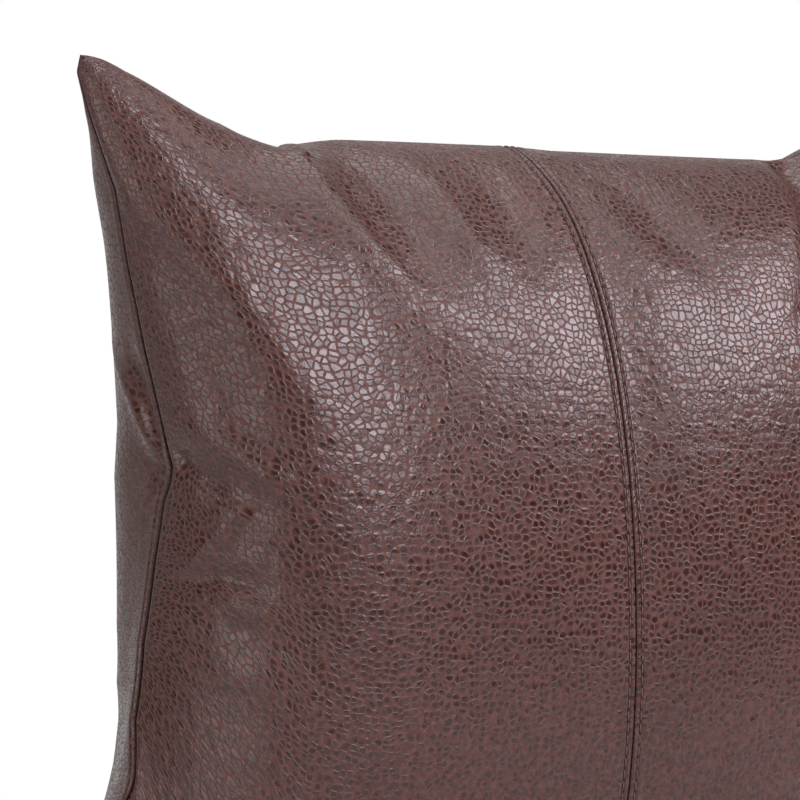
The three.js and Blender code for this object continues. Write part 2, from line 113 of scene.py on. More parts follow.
def lower_points(x, across, fall, side):
    seam_z = BULGE_HEIGHT - fall * (BULGE_HEIGHT - SEAM_Z)
    power = SIDE_POWER + (LOWER_SIDE_POWER - SIDE_POWER) * smooth(fall)
    fullness = np.clip(1 - across**power, 0, 1) ** ROUNDNESS
    tuck = smooth((fall - TUCK_START) / (1 - TUCK_START))
    angle = fall * SEAM_ANGLE if side < 0 else math.pi - fall * (math.pi - SEAM_ANGLE)
    cosine = np.cos(angle)
    depth = np.where(cosine > 0, FRONT_DEPTH, BACK_DEPTH)
    outline_y = -np.sign(cosine) * np.abs(cosine) ** OUTLINE_BEND * depth
    outline_z = BULGE_HEIGHT - BELLY_DROP * np.sin(angle) ** OUTLINE_BEND
    belly = np.sqrt(np.clip(1 - across**BELLY_POWER, 0, 1))
    y = outline_y * fullness + SEAM_Y * (1 - fullness) * tuck
    return x, y, np.maximum(seam_z + (outline_z - seam_z) * belly, 0)


def cover_points(u, v, side):
    """Points of the smooth filled cover; u and v run from -1 to 1 across and up it."""
    u, v = np.broadcast_arrays(np.asarray(u, float), np.asarray(v, float))
    across = np.abs(u)
    x = u * (HALF_WIDTH - SIDE_PULL * across**2 * (1 - v * v))
    high = np.stack(upper_points(x, across, np.clip(v, 0, 1), side), -1)
    low = np.stack(lower_points(x, across, np.clip(-v, 0, 1), side), -1)
    points = np.where((v >= 0)[..., None], high, low)
    points[..., 1] += MID_Y
    return points


def even_stations(curve, count):
    """Parameters from -1 to 1 at equal lengths along a curve of the cover."""
    t = np.linspace(-1, 1, 2001)
    t = np.sign(t) * (1 - (1 - np.abs(t)) ** 2)
    points = curve(t)
    length = np.concatenate([[0], np.cumsum(np.linalg.norm(np.diff(points, axis=0), axis=1))])
    return np.interp(np.linspace(0, length[-1], count), length, t)


# ---------------------------------------------------------------- sculpted folds
# Each fold is a ridge (positive height) or valley along a path on one panel: a list of places in
# millimetres with the fold's height there, then its half width to the left and right of the path.
# Places are X and Z on the front and back, and Y and Z on the left flank of the back panel.
FRONT_FOLDS = [
    (
        [
            (-209, 368, 0.4), (-203, 345, 2.0), (-192, 316, 2.0),
            (-170, 288, 1.2), (-150, 260, 0.8), (-132, 225, 0),
        ],
        8,
        8,
    ),
    ([(-188, 320, 0), (-182, 300, -1.0), (-174, 267, -2.0), (-165, 238, -2.2), (-156, 208, 0)], 12, 9),
    ([(-123, 347, -2.0), (-128, 328, 0)], 6, 6),
    (
        [
            (-115, 346, 4.2), (-119, 321, 5.6), (-109, 302, 4.8),
            (-96, 286, 2.8), (-70, 272, 1.2), (-50, 262, 0),
        ],
        8,
        28,
    ),
    ([(-95, 340, -1.0), (-84, 312, -2.6), (-74, 288, 0)], 11, 11),
    ([(-66, 338, 0.5), (-58, 308, 1.5), (-46, 280, 0)], 7, 7),
    ([(-36, 338, -0.8), (-32, 312, -2.4), (-30, 284, 0)], 13, 13),
    ([(26, 338, -0.8), (46, 312, -2.8), (70, 286, 0)], 14, 14),
    ([(0, 335, -1.5), (0, 290, -3.0), (0, 230, -3.0), (0, 150, -1.8), (0, 60, 0)], 20, 20),
    ([(208, 366, 0.4), (196, 338, 2.2), (160, 296, 2.8), (128, 250, 2.4), (112, 215, 0)], 10, 14),
    ([(136, 345, -5.0), (130, 318, -4.5), (116, 290, -2.5), (96, 268, 0)], 14, 7),
    ([(-176, 215, -3.0), (-169, 204, -3.2), (-162, 196, -2.0), (-154, 190, 0)], 7, 3),
    ([(-176, 230, 0), (-167, 220, 2.2), (-156, 209, 1.8), (-147, 201, 0)], 6, 5),
    ([(-159, 200, 0), (-163, 195, 2.0), (-168, 184, 2.2), (-172, 174, 1.4), (-176, 166, 0)], 3, 9),
    ([(-176, 166, 0), (-170, 169, -1.8), (-162, 166, -2.0), (-153, 160, 0)], 5, 4),
    ([(-170, 167, 0), (-165, 160, 1.8), (-158, 152, 1.2), (-148, 146, 0)], 5, 5),
    ([(-172, 142, 0), (-162, 130, 1.6), (-150, 118, 0)], 9, 9),
    ([(170, 205, -2.6), (160, 196, -2.2), (148, 190, 0)], 6, 8),
]
BACK_FOLDS = [
    ([(-206, 364, 0.4), (-192, 332, 2.2), (-150, 288, 2.6), (-122, 246, 2.2), (-108, 210, 0)], 12, 12),
    ([(206, 364, 0.4), (192, 332, 2.2), (150, 288, 2.6), (122, 246, 2.2), (108, 210, 0)], 12, 12),
    ([(-140, 345, -4.0), (-124, 315, -3.6), (-104, 288, -2.0), (-86, 268, 0)], 9, 12),
    ([(140, 345, -4.0), (124, 315, -3.6), (104, 288, -2.0), (86, 268, 0)], 12, 9),
    ([(-40, 338, -1.0), (-34, 312, -2.0), (-30, 280, 0)], 14, 14),
    ([(52, 338, -1.0), (46, 310, -2.2), (40, 284, 0)], 14, 14),
    ([(170, 205, -2.6), (158, 196, -2.4), (144, 190, 0)], 7, 7),
    ([(-20, 70, 0), (0, 82, 1.2), (24, 74, 0)], 16, 10),
]
FLANK_FOLDS = [
    ([(24, 264, 0.4), (13, 247, 1.8), (1, 229, 2.4), (-8, 217, 1.8), (-12, 212, 0)], 4, 4),
    ([(6, 268, 0), (-2, 248, -2.4), (-8, 230, -2.2), (-12, 216, -0.8)], 4, 4),
    ([(-12, 210, 0), (-2, 206, 1.4), (12, 202, 0)], 2.2, 2.2),
    ([(-12, 212, 0), (-1, 212, 1.1), (10, 214, 0)], 1.8, 1.8),
    ([(-12, 208, 0), (-6, 197, 1.2), (2, 182, 0)], 2.2, 2.2),
    ([(-8, 190, 0), (0, 160, 1.0), (4, 120, 0.8), (6, 90, 0)], 3, 3),
]


def fold_height(points, normals, path, left, right):
    """Height of one fold at each point; the nearest stretch of its path decides."""
    best = np.full(points.shape[:-1], np.inf)
    height = np.zeros(points.shape[:-1])
    for (start, low), (end, high) in zip(path[:-1], path[1:]):
        run = end - start
        along = np.clip(((points - start) @ run) / (run @ run), 0, 1)
        offset = points - start - along[..., None] * run
        distance = np.linalg.norm(offset, axis=-1)
        leftward = (np.cross(normals, run) * offset).sum(-1) > 0
        width = np.where(leftward, left, right) * MM
        here = (low + (high - low) * along) * MM * np.exp(-((distance / width) ** 2))
        height = np.where(distance < best, here, height)
        best = np.minimum(best, distance)
    return height


def snap(folds, points, axes, allowed):
    """Fold paths moved on to a panel: each place goes to the point it matches best."""
    found = []
    for places, left, right in folds:
        path = []
        for first, second, height in places:
            miss = np.hypot(points[..., axes[0]] - first * MM, points[..., axes[1]] - second * MM)
            miss = np.where(allowed, miss, np.inf)
            path.append((points[np.unravel_index(miss.argmin(), miss.shape)], height))
        found.append((path, left, right))
    return found


# How far each seam wanders from its smooth line, in millimetres: the left seam slides forwards and inwards
# by height, the right one less, and the top seam rises or dips along X.
LEFT_WANDER = [
    (55, 0), (76, 0.4), (93, -3.3), (111, -7), (143, -6.7), (176, -1.7), (199, 3.3), (207, 6.7), (213, 8),
    (224, 6.3), (243, 4.2), (261, 2.5), (294, 1.3), (324, 2.1), (339, 0), (355, -2.1), (371, -3), (378, 0),
]
TOP_WANDER = [
    (-201, 0), (-191, -0.8), (-169, 0), (-148, 0.4), (-138, -2.5), (-127, -7), (-122, -8.3), (-117, -6),
    (-106, -1.8), (-95, 0), (-85, 1.2), (-53, 1.6), (0, 1.9), (21, 0.8), (127, 0.8), (138, -0.6),
    (148, -2.1), (165, -1), (185, 0),
]
RIGHT_SHARE = 0.6
SLIDE = np.array([0.45, -1.1, 0])
FLANK_WANDER = [(55, 0), (75, 3.5), (93, 5), (111, 3), (126, -1), (150, -2.8), (210, -2.6), (232, 0)]


def wander(points, side, left, right, top):
    """Seam wander carried in to the panels and fading with distance from each seam."""
    height, across = points[..., 2] / MM, points[..., 0] / MM
    reach = (30 if side < 0 else 15) * MM
    slide = np.interp(height, *zip(*LEFT_WANDER)) * MM
    dip = np.interp(across, *zip(*TOP_WANDER)) * MM
    moved = points + (slide * np.exp(-((left / reach) ** 2)))[..., None] * SLIDE
    mirrored = RIGHT_SHARE * SLIDE * [-1, 1, 1]
    moved = moved + (slide * np.exp(-((right / reach) ** 2)))[..., None] * mirrored
    moved[..., 2] += dip * np.exp(-((top / (20 * MM)) ** 2))
    if side > 0:
        flank = np.interp(height, *zip(*FLANK_WANDER)) * MM
        moved[..., 0] += flank * np.exp(-(((left - 38 * MM) / (20 * MM)) ** 2))
    return moved


# ---------------------------------------------------------------- cloth
def grid_index(i, j, side):
    """Index of a cloth vertex; front and back share the seam's vertices."""
    on_seam = i in (0, CELLS) or j in (0, CELLS)
    return (i, j, 0 if on_seam else side)


def cloth_mesh():
    columns = even_stations(lambda t: cover_points(t, 0.25, FRONT), CELLS + 1)
    rows = {side: even_stations(lambda t: cover_points(0, t, side), CELLS + 1) for side in (FRONT, BACK)}
    seam_rows = (rows[FRONT] + rows[BACK]) / 2
    index, places, flat = {}, [], []
    for side in (FRONT, BACK):
        inner = rows[side]
        u, v = np.meshgrid(columns, np.arange(CELLS + 1), indexing="ij")
        edge = smooth((np.abs(np.linspace(-1, 1, CELLS + 1)) - 0.6) / 0.4)[:, None]
        v = inner[None, :] * (1 - edge) + seam_rows[None, :] * edge
        grid = cover_points(np.broadcast_to(u, v.shape), v, side)
        for i in range(CELLS + 1):
            for j in range(CELLS + 1):
                key = grid_index(i, j, side)
                if key not in index:
                    index[key] = len(places)
                    places.append(grid[i, j])
                    x, z = (i / CELLS - 0.5) * COVER_SIZE, (j / CELLS - 0.5) * COVER_SIZE
                    flat.append((x, side * 1e-5, z))
    faces = []
    for side in (FRONT, BACK):
        for i in range(CELLS):
            for j in range(CELLS):
                corners = [(i, j), (i + 1, j), (i + 1, j + 1), (i, j + 1)]
                quad = [index[grid_index(a, b, side)] for a, b in corners]
                faces.append(quad if side < 0 else quad[::-1])
    return index, np.array(places), np.array(flat), faces


def simulate(places, flat, faces, pinned):
    """Swells the sewn cover by pressure from its flat size, its seams held, and gives the new places."""
    mesh = bpy.data.meshes.new("cloth")
    mesh.from_pydata(places.tolist(), [], faces)
    cloth = bpy.data.objects.new("cloth", mesh)
    bpy.context.scene.collection.objects.link(cloth)
    cloth.shape_key_add(name="Basis")
    rest = cloth.shape_key_add(name="rest")
    rest.data.foreach_set("co", flat.ravel())
    group = cloth.vertex_groups.new(name="seam")
    group.add([int(k) for k in pinned], 1.0, "REPLACE")
    modifier = cloth.modifiers.new("Cloth", "CLOTH")
    settings = modifier.settings
    settings.quality = 8
    settings.mass = 0.002
    settings.tension_stiffness = 60
    settings.compression_stiffness = 12
    settings.shear_stiffness = 8
    settings.bending_stiffness = 1.2
    settings.air_damping = 5
    settings.use_pressure = True
    settings.uniform_pressure_force = 8
    settings.rest_shape_key = rest
    settings.vertex_group_mass = "seam"
    settings.effector_weights.gravity = 0
    modifier.collision_settings.use_collision = False
    scene = bpy.context.scene
    modifier.point_cache.frame_start = 1
    modifier.point_cache.frame_end = 30
    for number in range(1, CLOTH_FRAMES + 1):
        scene.frame_set(number)
    evaluated = cloth.evaluated_get(bpy.context.evaluated_depsgraph_get())
    result = np.empty(len(mesh.vertices) * 3, np.float32)
    evaluated.data.vertices.foreach_get("co", result)
    scene.frame_set(1)
    bpy.data.objects.remove(cloth)
    return result.reshape(-1, 3).astype(float)


def solve_cover():
    """The cloth's places as one grid for each side."""
    index, places, flat, faces = cloth_mesh()
    keys = list(index)
    on_seam = np.array([key[2] == 0 for key in keys])
    low = places[:, 2] < 4 * MM
    near_zip = np.linalg.norm(places[:, 1:] - [SEAM_Y + MID_Y, SEAM_Z], axis=1) < 16 * MM
    solved = places
    moved = simulate(places, flat, faces, np.flatnonzero(on_seam | near_zip | low)) - places
    reach = np.linalg.norm(moved, axis=1, keepdims=True)
    solved = places + moved * CLOTH_CAP * np.tanh(reach / CLOTH_CAP) / np.maximum(reach, 1e-9)
    solved[:, 2] = np.maximum(solved[:, 2], 0)
    grids = {}
    for side in (FRONT, BACK):
        order = [[index[grid_index(i, j, side)] for j in range(CELLS + 1)] for i in range(CELLS + 1)]
        grids[side] = solved[np.array(order)]
    return grids


# ---------------------------------------------------------------- smooth surface over the cloth grid
def spline_weights(positions):
    """Cubic B-spline weights over the cloth's stations, which meet the end stations exactly."""
    t = np.clip((np.asarray(positions, float) + 1) / 2, 0, 1) * CELLS
    cell = np.minimum(t.astype(int), CELLS - 1)
    f = t - cell
    basis = [(1 - f) ** 3, 3 * f**3 - 6 * f**2 + 4, -3 * f**3 + 3 * f**2 + 3 * f + 1, f**3]
    weights = np.zeros((len(t), CELLS + 3))
    for offset, value in enumerate(basis):
        weights[np.arange(len(t)), cell + offset] += value / 6
    weights[:, 1] += 2 * weights[:, 0]
    weights[:, 2] -= weights[:, 0]
    weights[:, CELLS + 1] += 2 * weights[:, CELLS + 2]
    weights[:, CELLS] -= weights[:, CELLS + 2]
    return weights[:, 1:-1]


def surface(grid, a, b):
    """Places on the smooth surface at the crossings of columns a and rows b, from -1 to 1."""
    return np.einsum("ik,kjc,lj->ilc", spline_weights(a), grid, spline_weights(b))


def normals_of(points, side):
    across = np.gradient(points, axis=0)
    up = np.gradient(points, axis=1)
    normal = np.cross(across, up) * -side
    return normal / np.maximum(np.linalg.norm(normal, axis=-1, keepdims=True), 1e-12)


def running_length(points, axis):
    steps = np.linalg.norm(np.diff(points, axis=axis), axis=-1)
    start = np.zeros_like(np.take(steps, [0], axis=axis))
    return np.concatenate([start, np.cumsum(steps, axis=axis)], axis=axis)


def edge_spacing(first, steps, growth, limit):
    """Distances that open out from an edge."""
    values, step = [0.0], first
    while len(values) <= steps and step < limit:
        values.append(values[-1] + step)
        step *= growth
    return np.array(values)


def stations_between(low_edge, high_edge, spacing):
    """Stations from -1 to 1: the distances low_edge and high_edge from each end, then even ones between."""
    half = COVER_SIZE / 2
    start, end = -half + low_edge[-1], half - high_edge[-1]
    middle = np.linspace(start, end, max(int((end - start) / spacing), 2))[1:-1]
    values = np.concatenate([-half + low_edge, middle, half - high_edge[::-1]])
    return values / half


# ---------------------------------------------------------------- meshes
def mesh_piece(name, points, faces, material, uvs=None):
    mesh = bpy.data.meshes.new(name)
    mesh.from_pydata(points.tolist(), [], faces.tolist() if hasattr(faces, "tolist") else faces)
    if uvs is not None:
        layer = mesh.uv_layers.new(name="pattern")
        loops = np.empty(len(mesh.loops), np.int32)
        mesh.loops.foreach_get("vertex_index", loops)
        layer.data.foreach_set("uv", uvs[loops].astype(np.float32).ravel())
    mesh.polygons.foreach_set("use_smooth", np.ones(len(mesh.polygons), bool))
    mesh.materials.append(material)
    mesh.update()
    piece = bpy.data.objects.new(name, mesh)
    bpy.context.scene.collection.objects.link(piece)
    return piece


def shell_faces(columns, rows, side):
    """Faces of a closed shell: an outer grid, an inner grid and the four edges between them."""
    count = columns * rows
    ids = np.arange(count).reshape(columns, rows)
    a, b, c, d = ids[:-1, :-1], ids[1:, :-1], ids[1:, 1:], ids[:-1, 1:]
    outer = np.stack([a, b, c, d], -1).reshape(-1, 4)
    inner = outer[:, ::-1] + count
    rim = np.concatenate([ids[:, 0], ids[-1, 1:], ids[-2::-1, -1], ids[0, -2:0:-1]])
    after = np.roll(rim, -1)
    wall = np.stack([rim, rim + count, after + count, after], -1)
    faces = np.concatenate([outer, inner, wall])
    return faces if side < 0 else faces[:, ::-1]


def shell_piece(name, outer, inner, side, material, pattern):
    columns, rows = outer.shape[:2]
    points = np.concatenate([outer.reshape(-1, 3), inner.reshape(-1, 3)])
    uvs = np.concatenate([pattern.reshape(-1, 2)] * 2)
    return mesh_piece(name, points, shell_faces(columns, rows, side), material, uvs)


def tubes(name, paths, radius, material, sides=8):
    """One mesh of closed round threads, each along its own path, tapered at its ends."""
    points, faces = [], []
    turn = np.linspace(0, 2 * math.pi, sides, endpoint=False)
    for path, normal in paths:
        along = np.gradient(path, axis=0)
        along /= np.linalg.norm(along, axis=1, keepdims=True)
        across = np.cross(along, normal)
        across /= np.linalg.norm(across, axis=1, keepdims=True)
        up = np.cross(across, along)
        taper = radius * np.sin(np.linspace(0.35, math.pi - 0.35, len(path))) ** 0.35
        ring = np.cos(turn)[None, :, None] * across[:, None] + np.sin(turn)[None, :, None] * up[:, None]
        base = len(points)
        points.extend((path[:, None] + ring * taper[:, None, None]).reshape(-1, 3))
        for k in range(len(path) - 1):
            for s in range(sides):
                n = (s + 1) % sides
                low, high = base + k * sides, base + (k + 1) * sides
                faces.append([low + s, low + n, high + n, high + s])
        faces.append([base + s for s in range(sides)][::-1])
        faces.append([base + (len(path) - 1) * sides + s for s in range(sides)])
    return mesh_piece(name, np.array(points), faces, material)


# ---------------------------------------------------------------- cover panels
def seam_profile(distance, at_zip):
    """How far the leather turns in beside the perimeter seam, and less along the zip."""
    turn = (-2.8 + 2.3 * at_zip) * MM * np.exp(-((distance / (1.0 * MM)) ** 1.2))
    return turn + 0.3 * MM * np.exp(-(((distance - 3 * MM) / (1.6 * MM)) ** 2))


def centre_profile(x, length):
    """Folded edge, topstitch groove and the slight swell outside it, with a dip at each needle hole."""
    fold = -1.2 * MM * np.exp(-((x / (0.4 * MM)) ** 1.6))
    fold += 0.3 * MM * np.exp(-(((x - 1.7 * MM) / (1.1 * MM)) ** 2))
    hole = 0.5 + 0.5 * np.cos(2 * math.pi * length / STITCH_PITCH)
    groove = -(0.62 + 0.35 * hole**3) * MM * np.exp(-(((x - TOPSTITCH_OFFSET) / (0.6 * MM)) ** 2))
    swell = 0.18 * MM * np.exp(-(((x - 5.2 * MM) / (1.5 * MM)) ** 2))
    return fold + groove + swell


def cover(a, b, side, sculpted=True):
    """Places, normals and fold heights at columns a and rows b, and the distances to the four seams."""
    grid = GRIDS[side]
    middle = surface(grid, a, np.array([-1, -0.98]))
    opening = 1 - smooth((np.abs(middle[:, 0, 0]) - ZIP_HALF) / (5 * MM))
    first_row = np.linalg.norm(middle[:, 1] - middle[:, 0], axis=-1) / 0.02
    start = CHANNEL_HALF * opening / first_row
    weights = spline_weights(a)
    points = np.empty((len(a), len(b), 3))
    for column, weight in enumerate(weights):
        rows = -1 + start[column] + (b + 1) * (2 - start[column]) / 2
        points[column] = spline_weights(rows) @ np.einsum("k,kjc->jc", weight, grid)
    left, right = (1 + a)[:, None] * HALF_COVER, (1 - a)[:, None] * HALF_COVER
    bottom, top = (1 + b)[None] * HALF_COVER, (1 - b)[None] * HALF_COVER
    points = wander(points, side, left, right, top)
    normal = normals_of(points, side)
    rim = np.minimum(np.minimum(left, right), np.minimum(bottom, top))
    height = np.zeros(rim.shape)
    if sculpted:
        for path, wide_left, wide_right in FOLD_PATHS[side]:
            height += fold_height(points, normal, path, wide_left, wide_right)
        height *= smooth(rim / (9 * MM))
    return points, normal, height, rim, top


def zip_share(points, b):
    """1 beside the zip's opening and 0 at the rest of the rim."""
    along = 1 - smooth((np.abs(points[..., 0]) - ZIP_HALF) / (5 * MM))
    return along * (b < 0)


def front_panel(name, direction, material, cad_node):
    centre = np.array(CENTRE_COLUMNS) * MM
    edge = edge_spacing(0.25 * MM, 14, 1.3, 2.2 * MM)
    start, end = centre[-1], HALF_COVER - edge[-1]
    middle = np.linspace(start, end, int((end - start) / (2.5 * MM)))[1:-1]
    a = direction * np.concatenate([centre, middle, HALF_COVER - edge[::-1]]) / HALF_COVER
    a = a[::direction]
    ends = edge_spacing(0.3 * MM, 6, 1.3, 1.2 * MM)
    b = stations_between(ends, ends, 1.2 * MM)
    points, normal, height, rim, top = cover(a, b, FRONT)
    off_centre = np.abs(a)[:, None] * HALF_COVER
    height += seam_profile(rim, zip_share(points, b)) + centre_profile(off_centre, top)
    # groove: where painted shade darkens the leather, in the perimeter seam, the centre seam's fold and the
    # topstitch grooves.
    groove = np.exp(-((rim / (1.0 * MM)) ** 2)) + 0.75 * np.exp(-((off_centre / (0.3 * MM)) ** 2))
    groove += 0.62 * np.exp(-(((off_centre - TOPSTITCH_OFFSET) / (0.5 * MM)) ** 2))
    return leather_shell(name, points, normal, height, rim, groove, FRONT, a, b, material, cad_node)


def back_panel(name, material, cad_node):
    edge = edge_spacing(0.25 * MM, 24, 1.18, 2.4 * MM)
    a = stations_between(edge, edge, 2.4 * MM)
    b = stations_between(edge, edge, 2.4 * MM)
    points, normal, height, rim, _ = cover(a, b, BACK)
    height += seam_profile(rim, zip_share(points, b))
    # groove: where painted shade darkens the leather beside the perimeter seam.
    groove = np.exp(-((rim / (1.0 * MM)) ** 2))
    return leather_shell(name, points, normal, height, rim, groove, BACK, a, b, material, cad_node)


def leather_shell(name, points, normal, height, rim, groove, side, a, b, material, cad_node):
    outward = points - HEART
    outward[..., 1] = 0
    outward /= np.linalg.norm(outward, axis=-1, keepdims=True)
    beside_seam = np.exp(-((rim / (4 * MM)) ** 2))[..., None]
    outer = points + (normal + (outward - normal) * beside_seam) * height[..., None]
    outer[..., 2] = np.maximum(outer[..., 2], 0)
    thickness = np.minimum(LEATHER, 0.2 * MM + 0.5 * rim)
    inner = outer - normal * thickness[..., None]
    inner[..., 2] = np.maximum(inner[..., 2], 0.4 * thickness)
    pattern = np.stack(np.meshgrid(a * HALF_COVER, b * HALF_COVER, indexing="ij"), -1)
    if side > 0:
        pattern = pattern + [0, 0.6]
    piece = shell_piece(name, outer, inner, side, material, pattern)
    ease = 0.7 * np.exp(-rim / (7 * MM))
    if side > 0:
        ease = ease + 0.6 * np.exp(-(((1 + a[:, None]) * HALF_COVER / (45 * MM)) ** 2))
    # The groove attribute carries the mask of painted seam shade to the material.
    for label, values in (("groove", groove), ("ease", ease)):
        layer = piece.data.attributes.new(label, "FLOAT", "POINT")
        layer.data.foreach_set("value", np.tile(values.ravel(), 2).astype(np.float32))
    return finish_piece(piece, cad_node)


def finish_piece(piece, node, body="pillow"):
    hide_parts(node)
    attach(piece, body)
    return piece


# ---------------------------------------------------------------- the stuffed insert
def insert_surface(stations, side, inset):
    """The insert's face inside the cover, drawn in to a thin edge all round."""
    front = cover(stations, stations, FRONT)
    back = cover(stations, stations, BACK)
    front_places = front[0] + front[1] * front[2][..., None]
    back_places = back[0] + back[1] * back[2][..., None]
    middle, half = (front_places + back_places) / 2, (front_places - back_places) / 2
    length = np.linalg.norm(half, axis=-1)
    share = stations / INSERT_REACH
    closing = np.sqrt(np.clip(np.outer(1 - share**8, 1 - share**8), 0, 1))
    depth = np.maximum(length - inset, 0) * closing + 0.3 * MM
    return middle - side * half * (depth / length)[..., None]


def insert_pieces():
    spread = np.sin(np.linspace(-math.pi / 2, math.pi / 2, 72))
    stations = INSERT_REACH * (0.6 * spread + 0.4 * np.linspace(-1, 1, 72))
    pattern = np.stack(np.meshgrid(stations, stations, indexing="ij"), -1) * HALF_COVER
    outer = {side: insert_surface(stations, side, CASING_DEPTH) for side in (FRONT, BACK)}
    inner = {side: insert_surface(stations, side, CASING_INNER) for side in (FRONT, BACK)}
    for side, word in ((FRONT, "front"), (BACK, "back")):
        casing = shell_piece("casing_" + word, outer[side], inner[side], side, COTTON_MATERIAL, pattern)
        finish_piece(casing, "insert_casing_" + word)
    core = stations[2:-2]
    fill = shell_piece(
        "stuffing",
        insert_surface(core, FRONT, FILL_DEPTH),
        insert_surface(core, BACK, FILL_DEPTH),
        FRONT,
        FILL_MATERIAL,
        pattern[2:-2, 2:-2],
    )
    finish_piece(fill, "insert_fill")
    insert_stitches(outer[FRONT])


def insert_stitches(face):
    rim = np.concatenate([face[0], face[1:, -1], face[-1, -2::-1], face[-2:0:-1, 0]])
    outward = rim - face.mean((0, 1))
    outward /= np.linalg.norm(outward, axis=1, keepdims=True)
    paths = stitch_paths(rim, outward, 6 * MM, 0.8 * MM, (0.2 * MM, 0.6 * MM))
    thread = tubes("insert_stitches", paths, 0.3 * MM, THREAD_MATERIAL)
    finish_piece(thread, "insert_seam_thread")


# ---------------------------------------------------------------- materials
class Nodes:
    """A small helper that adds nodes to a material and links them."""

    def __init__(self, name):
        self.material = bpy.data.materials.new(name)
        self.material.use_nodes = True
        self.tree = self.material.node_tree
        self.shader = self.tree.nodes["Principled BSDF"]

    def add(self, kind, settings=None, **links):
        node = self.tree.nodes.new(kind)
        for key, value in (settings or {}).items():
            setattr(node, key, value)
        for key, value in links.items():
            self.feed(node.inputs[key.replace("_", " ")], value)
        return node

    def feed(self, socket, value):
        if isinstance(value, bpy.types.NodeSocket):
            self.tree.links.new(value, socket)
        else:
            socket.default_value = value

    def ramp(self, value, low, high, start=0.0, end=1.0):
        node = self.add("ShaderNodeMapRange", {"interpolation_type": "SMOOTHSTEP"})
        for socket, item in zip(node.inputs, (value, low, high, start, end)):
            self.feed(socket, item)
        return node.outputs[0]

    def math(self, operation, first, second=0.0):
        node = self.add("ShaderNodeMath", {"operation": operation})
        self.feed(node.inputs[0], first)
        self.feed(node.inputs[1], second)
        return node.outputs[0]

    def mix(self, factor, first, second):
        node = self.add("ShaderNodeMix", {"data_type": "RGBA"})
        for number, item in ((0, factor), (6, first), (7, second)):
            self.feed(node.inputs[number], item)
        return node.outputs[2]

    def flat_noise(self, place, scale, detail):
        settings = {"noise_dimensions": "2D"}
        return self.add("ShaderNodeTexNoise", settings, Vector=place, Scale=scale, Detail=detail)

    def bump(self, height, strength, distance):
        node = self.add("ShaderNodeBump", Height=height, Strength=strength, Distance=distance)
        self.feed(self.shader.inputs["Normal"], node.outputs[0])


# Leather colours: the body between two browns, what lies over it, and a near-black painted shade for the
# seam grooves.
BODY_DARK, BODY_LIGHT = (0.045, 0.0150, 0.0113, 1), (0.057, 0.0198, 0.0150, 1)
MOTTLE = (0.105, 0.046, 0.036, 1)
VEIN = (0.108, 0.060, 0.051, 1)
SPOT = (0.020, 0.0055, 0.0038, 1)
GROOVE_SHADE = (0.004, 0.002, 0.0018, 1)
GRAIN_DEPTH = 0.00011


def pebble_place(n, pattern):
    """Pattern coordinates pushed about and drawn out a little, so that the pebbles don't lie in rows."""
    drift = n.flat_noise(pattern, 70.0, 2.0)
    centred = n.add("ShaderNodeVectorMath", {"operation": "SUBTRACT"})
    n.feed(centred.inputs[0], drift.outputs["Color"])
    centred.inputs[1].default_value = (0.5, 0.5, 0.5)
    push = n.add("ShaderNodeVectorMath", {"operation": "MULTIPLY_ADD"})
    n.feed(push.inputs[0], centred.outputs[0])
    push.inputs[1].default_value = (0.004, 0.004, 0.0)
    n.feed(push.inputs[2], pattern)
    stretch = n.add("ShaderNodeMapping", {"vector_type": "POINT"}, Vector=push.outputs[0])
    stretch.inputs["Scale"].default_value = (0.88, 1.12, 1)
    return stretch.outputs[0]


def leather_colour(n, pattern, creases, distance, edge, shade):
    """Brown in soft patches, with lighter creases and veins and a dark spot on each pebble."""
    patches = n.flat_noise(pattern, 14.0, 3.0).outputs[0]
    body = n.mix(n.ramp(patches, 0.35, 0.65), BODY_DARK, BODY_LIGHT)
    mottled = n.mix(n.math("MULTIPLY", n.ramp(creases, 0.42, 0.62), 0.4), body, MOTTLE)
    veined = n.mix(n.ramp(edge, 0.0, 0.07, 0.35, 0.0), mottled, VEIN)
    spot = n.math("MULTIPLY", n.ramp(distance, 0.26, 0.5, 1.0, 0.0), n.ramp(edge, 0.03, 0.13))
    depth = n.math("MULTIPLY", spot, n.ramp(shade, 0.0, 0.8, 0.5, 1.0))
    return n.mix(depth, veined, SPOT)


def leather_height(n, place, creases, dome):
    """Domed pebbles over a fine grain, creases and a slow swell."""
    fine = n.flat_noise(place, 1500.0, 3.0).outputs[0]
    swell = n.flat_noise(place, 190.0, 1.0).outputs[0]
    wrinkles = n.math("ADD", n.math("MULTIPLY", swell, 3.2), n.math("MULTIPLY", creases, 1.2))
    return n.math("ADD", n.math("ADD", dome, n.math("MULTIPLY", fine, 0.3)), wrinkles)


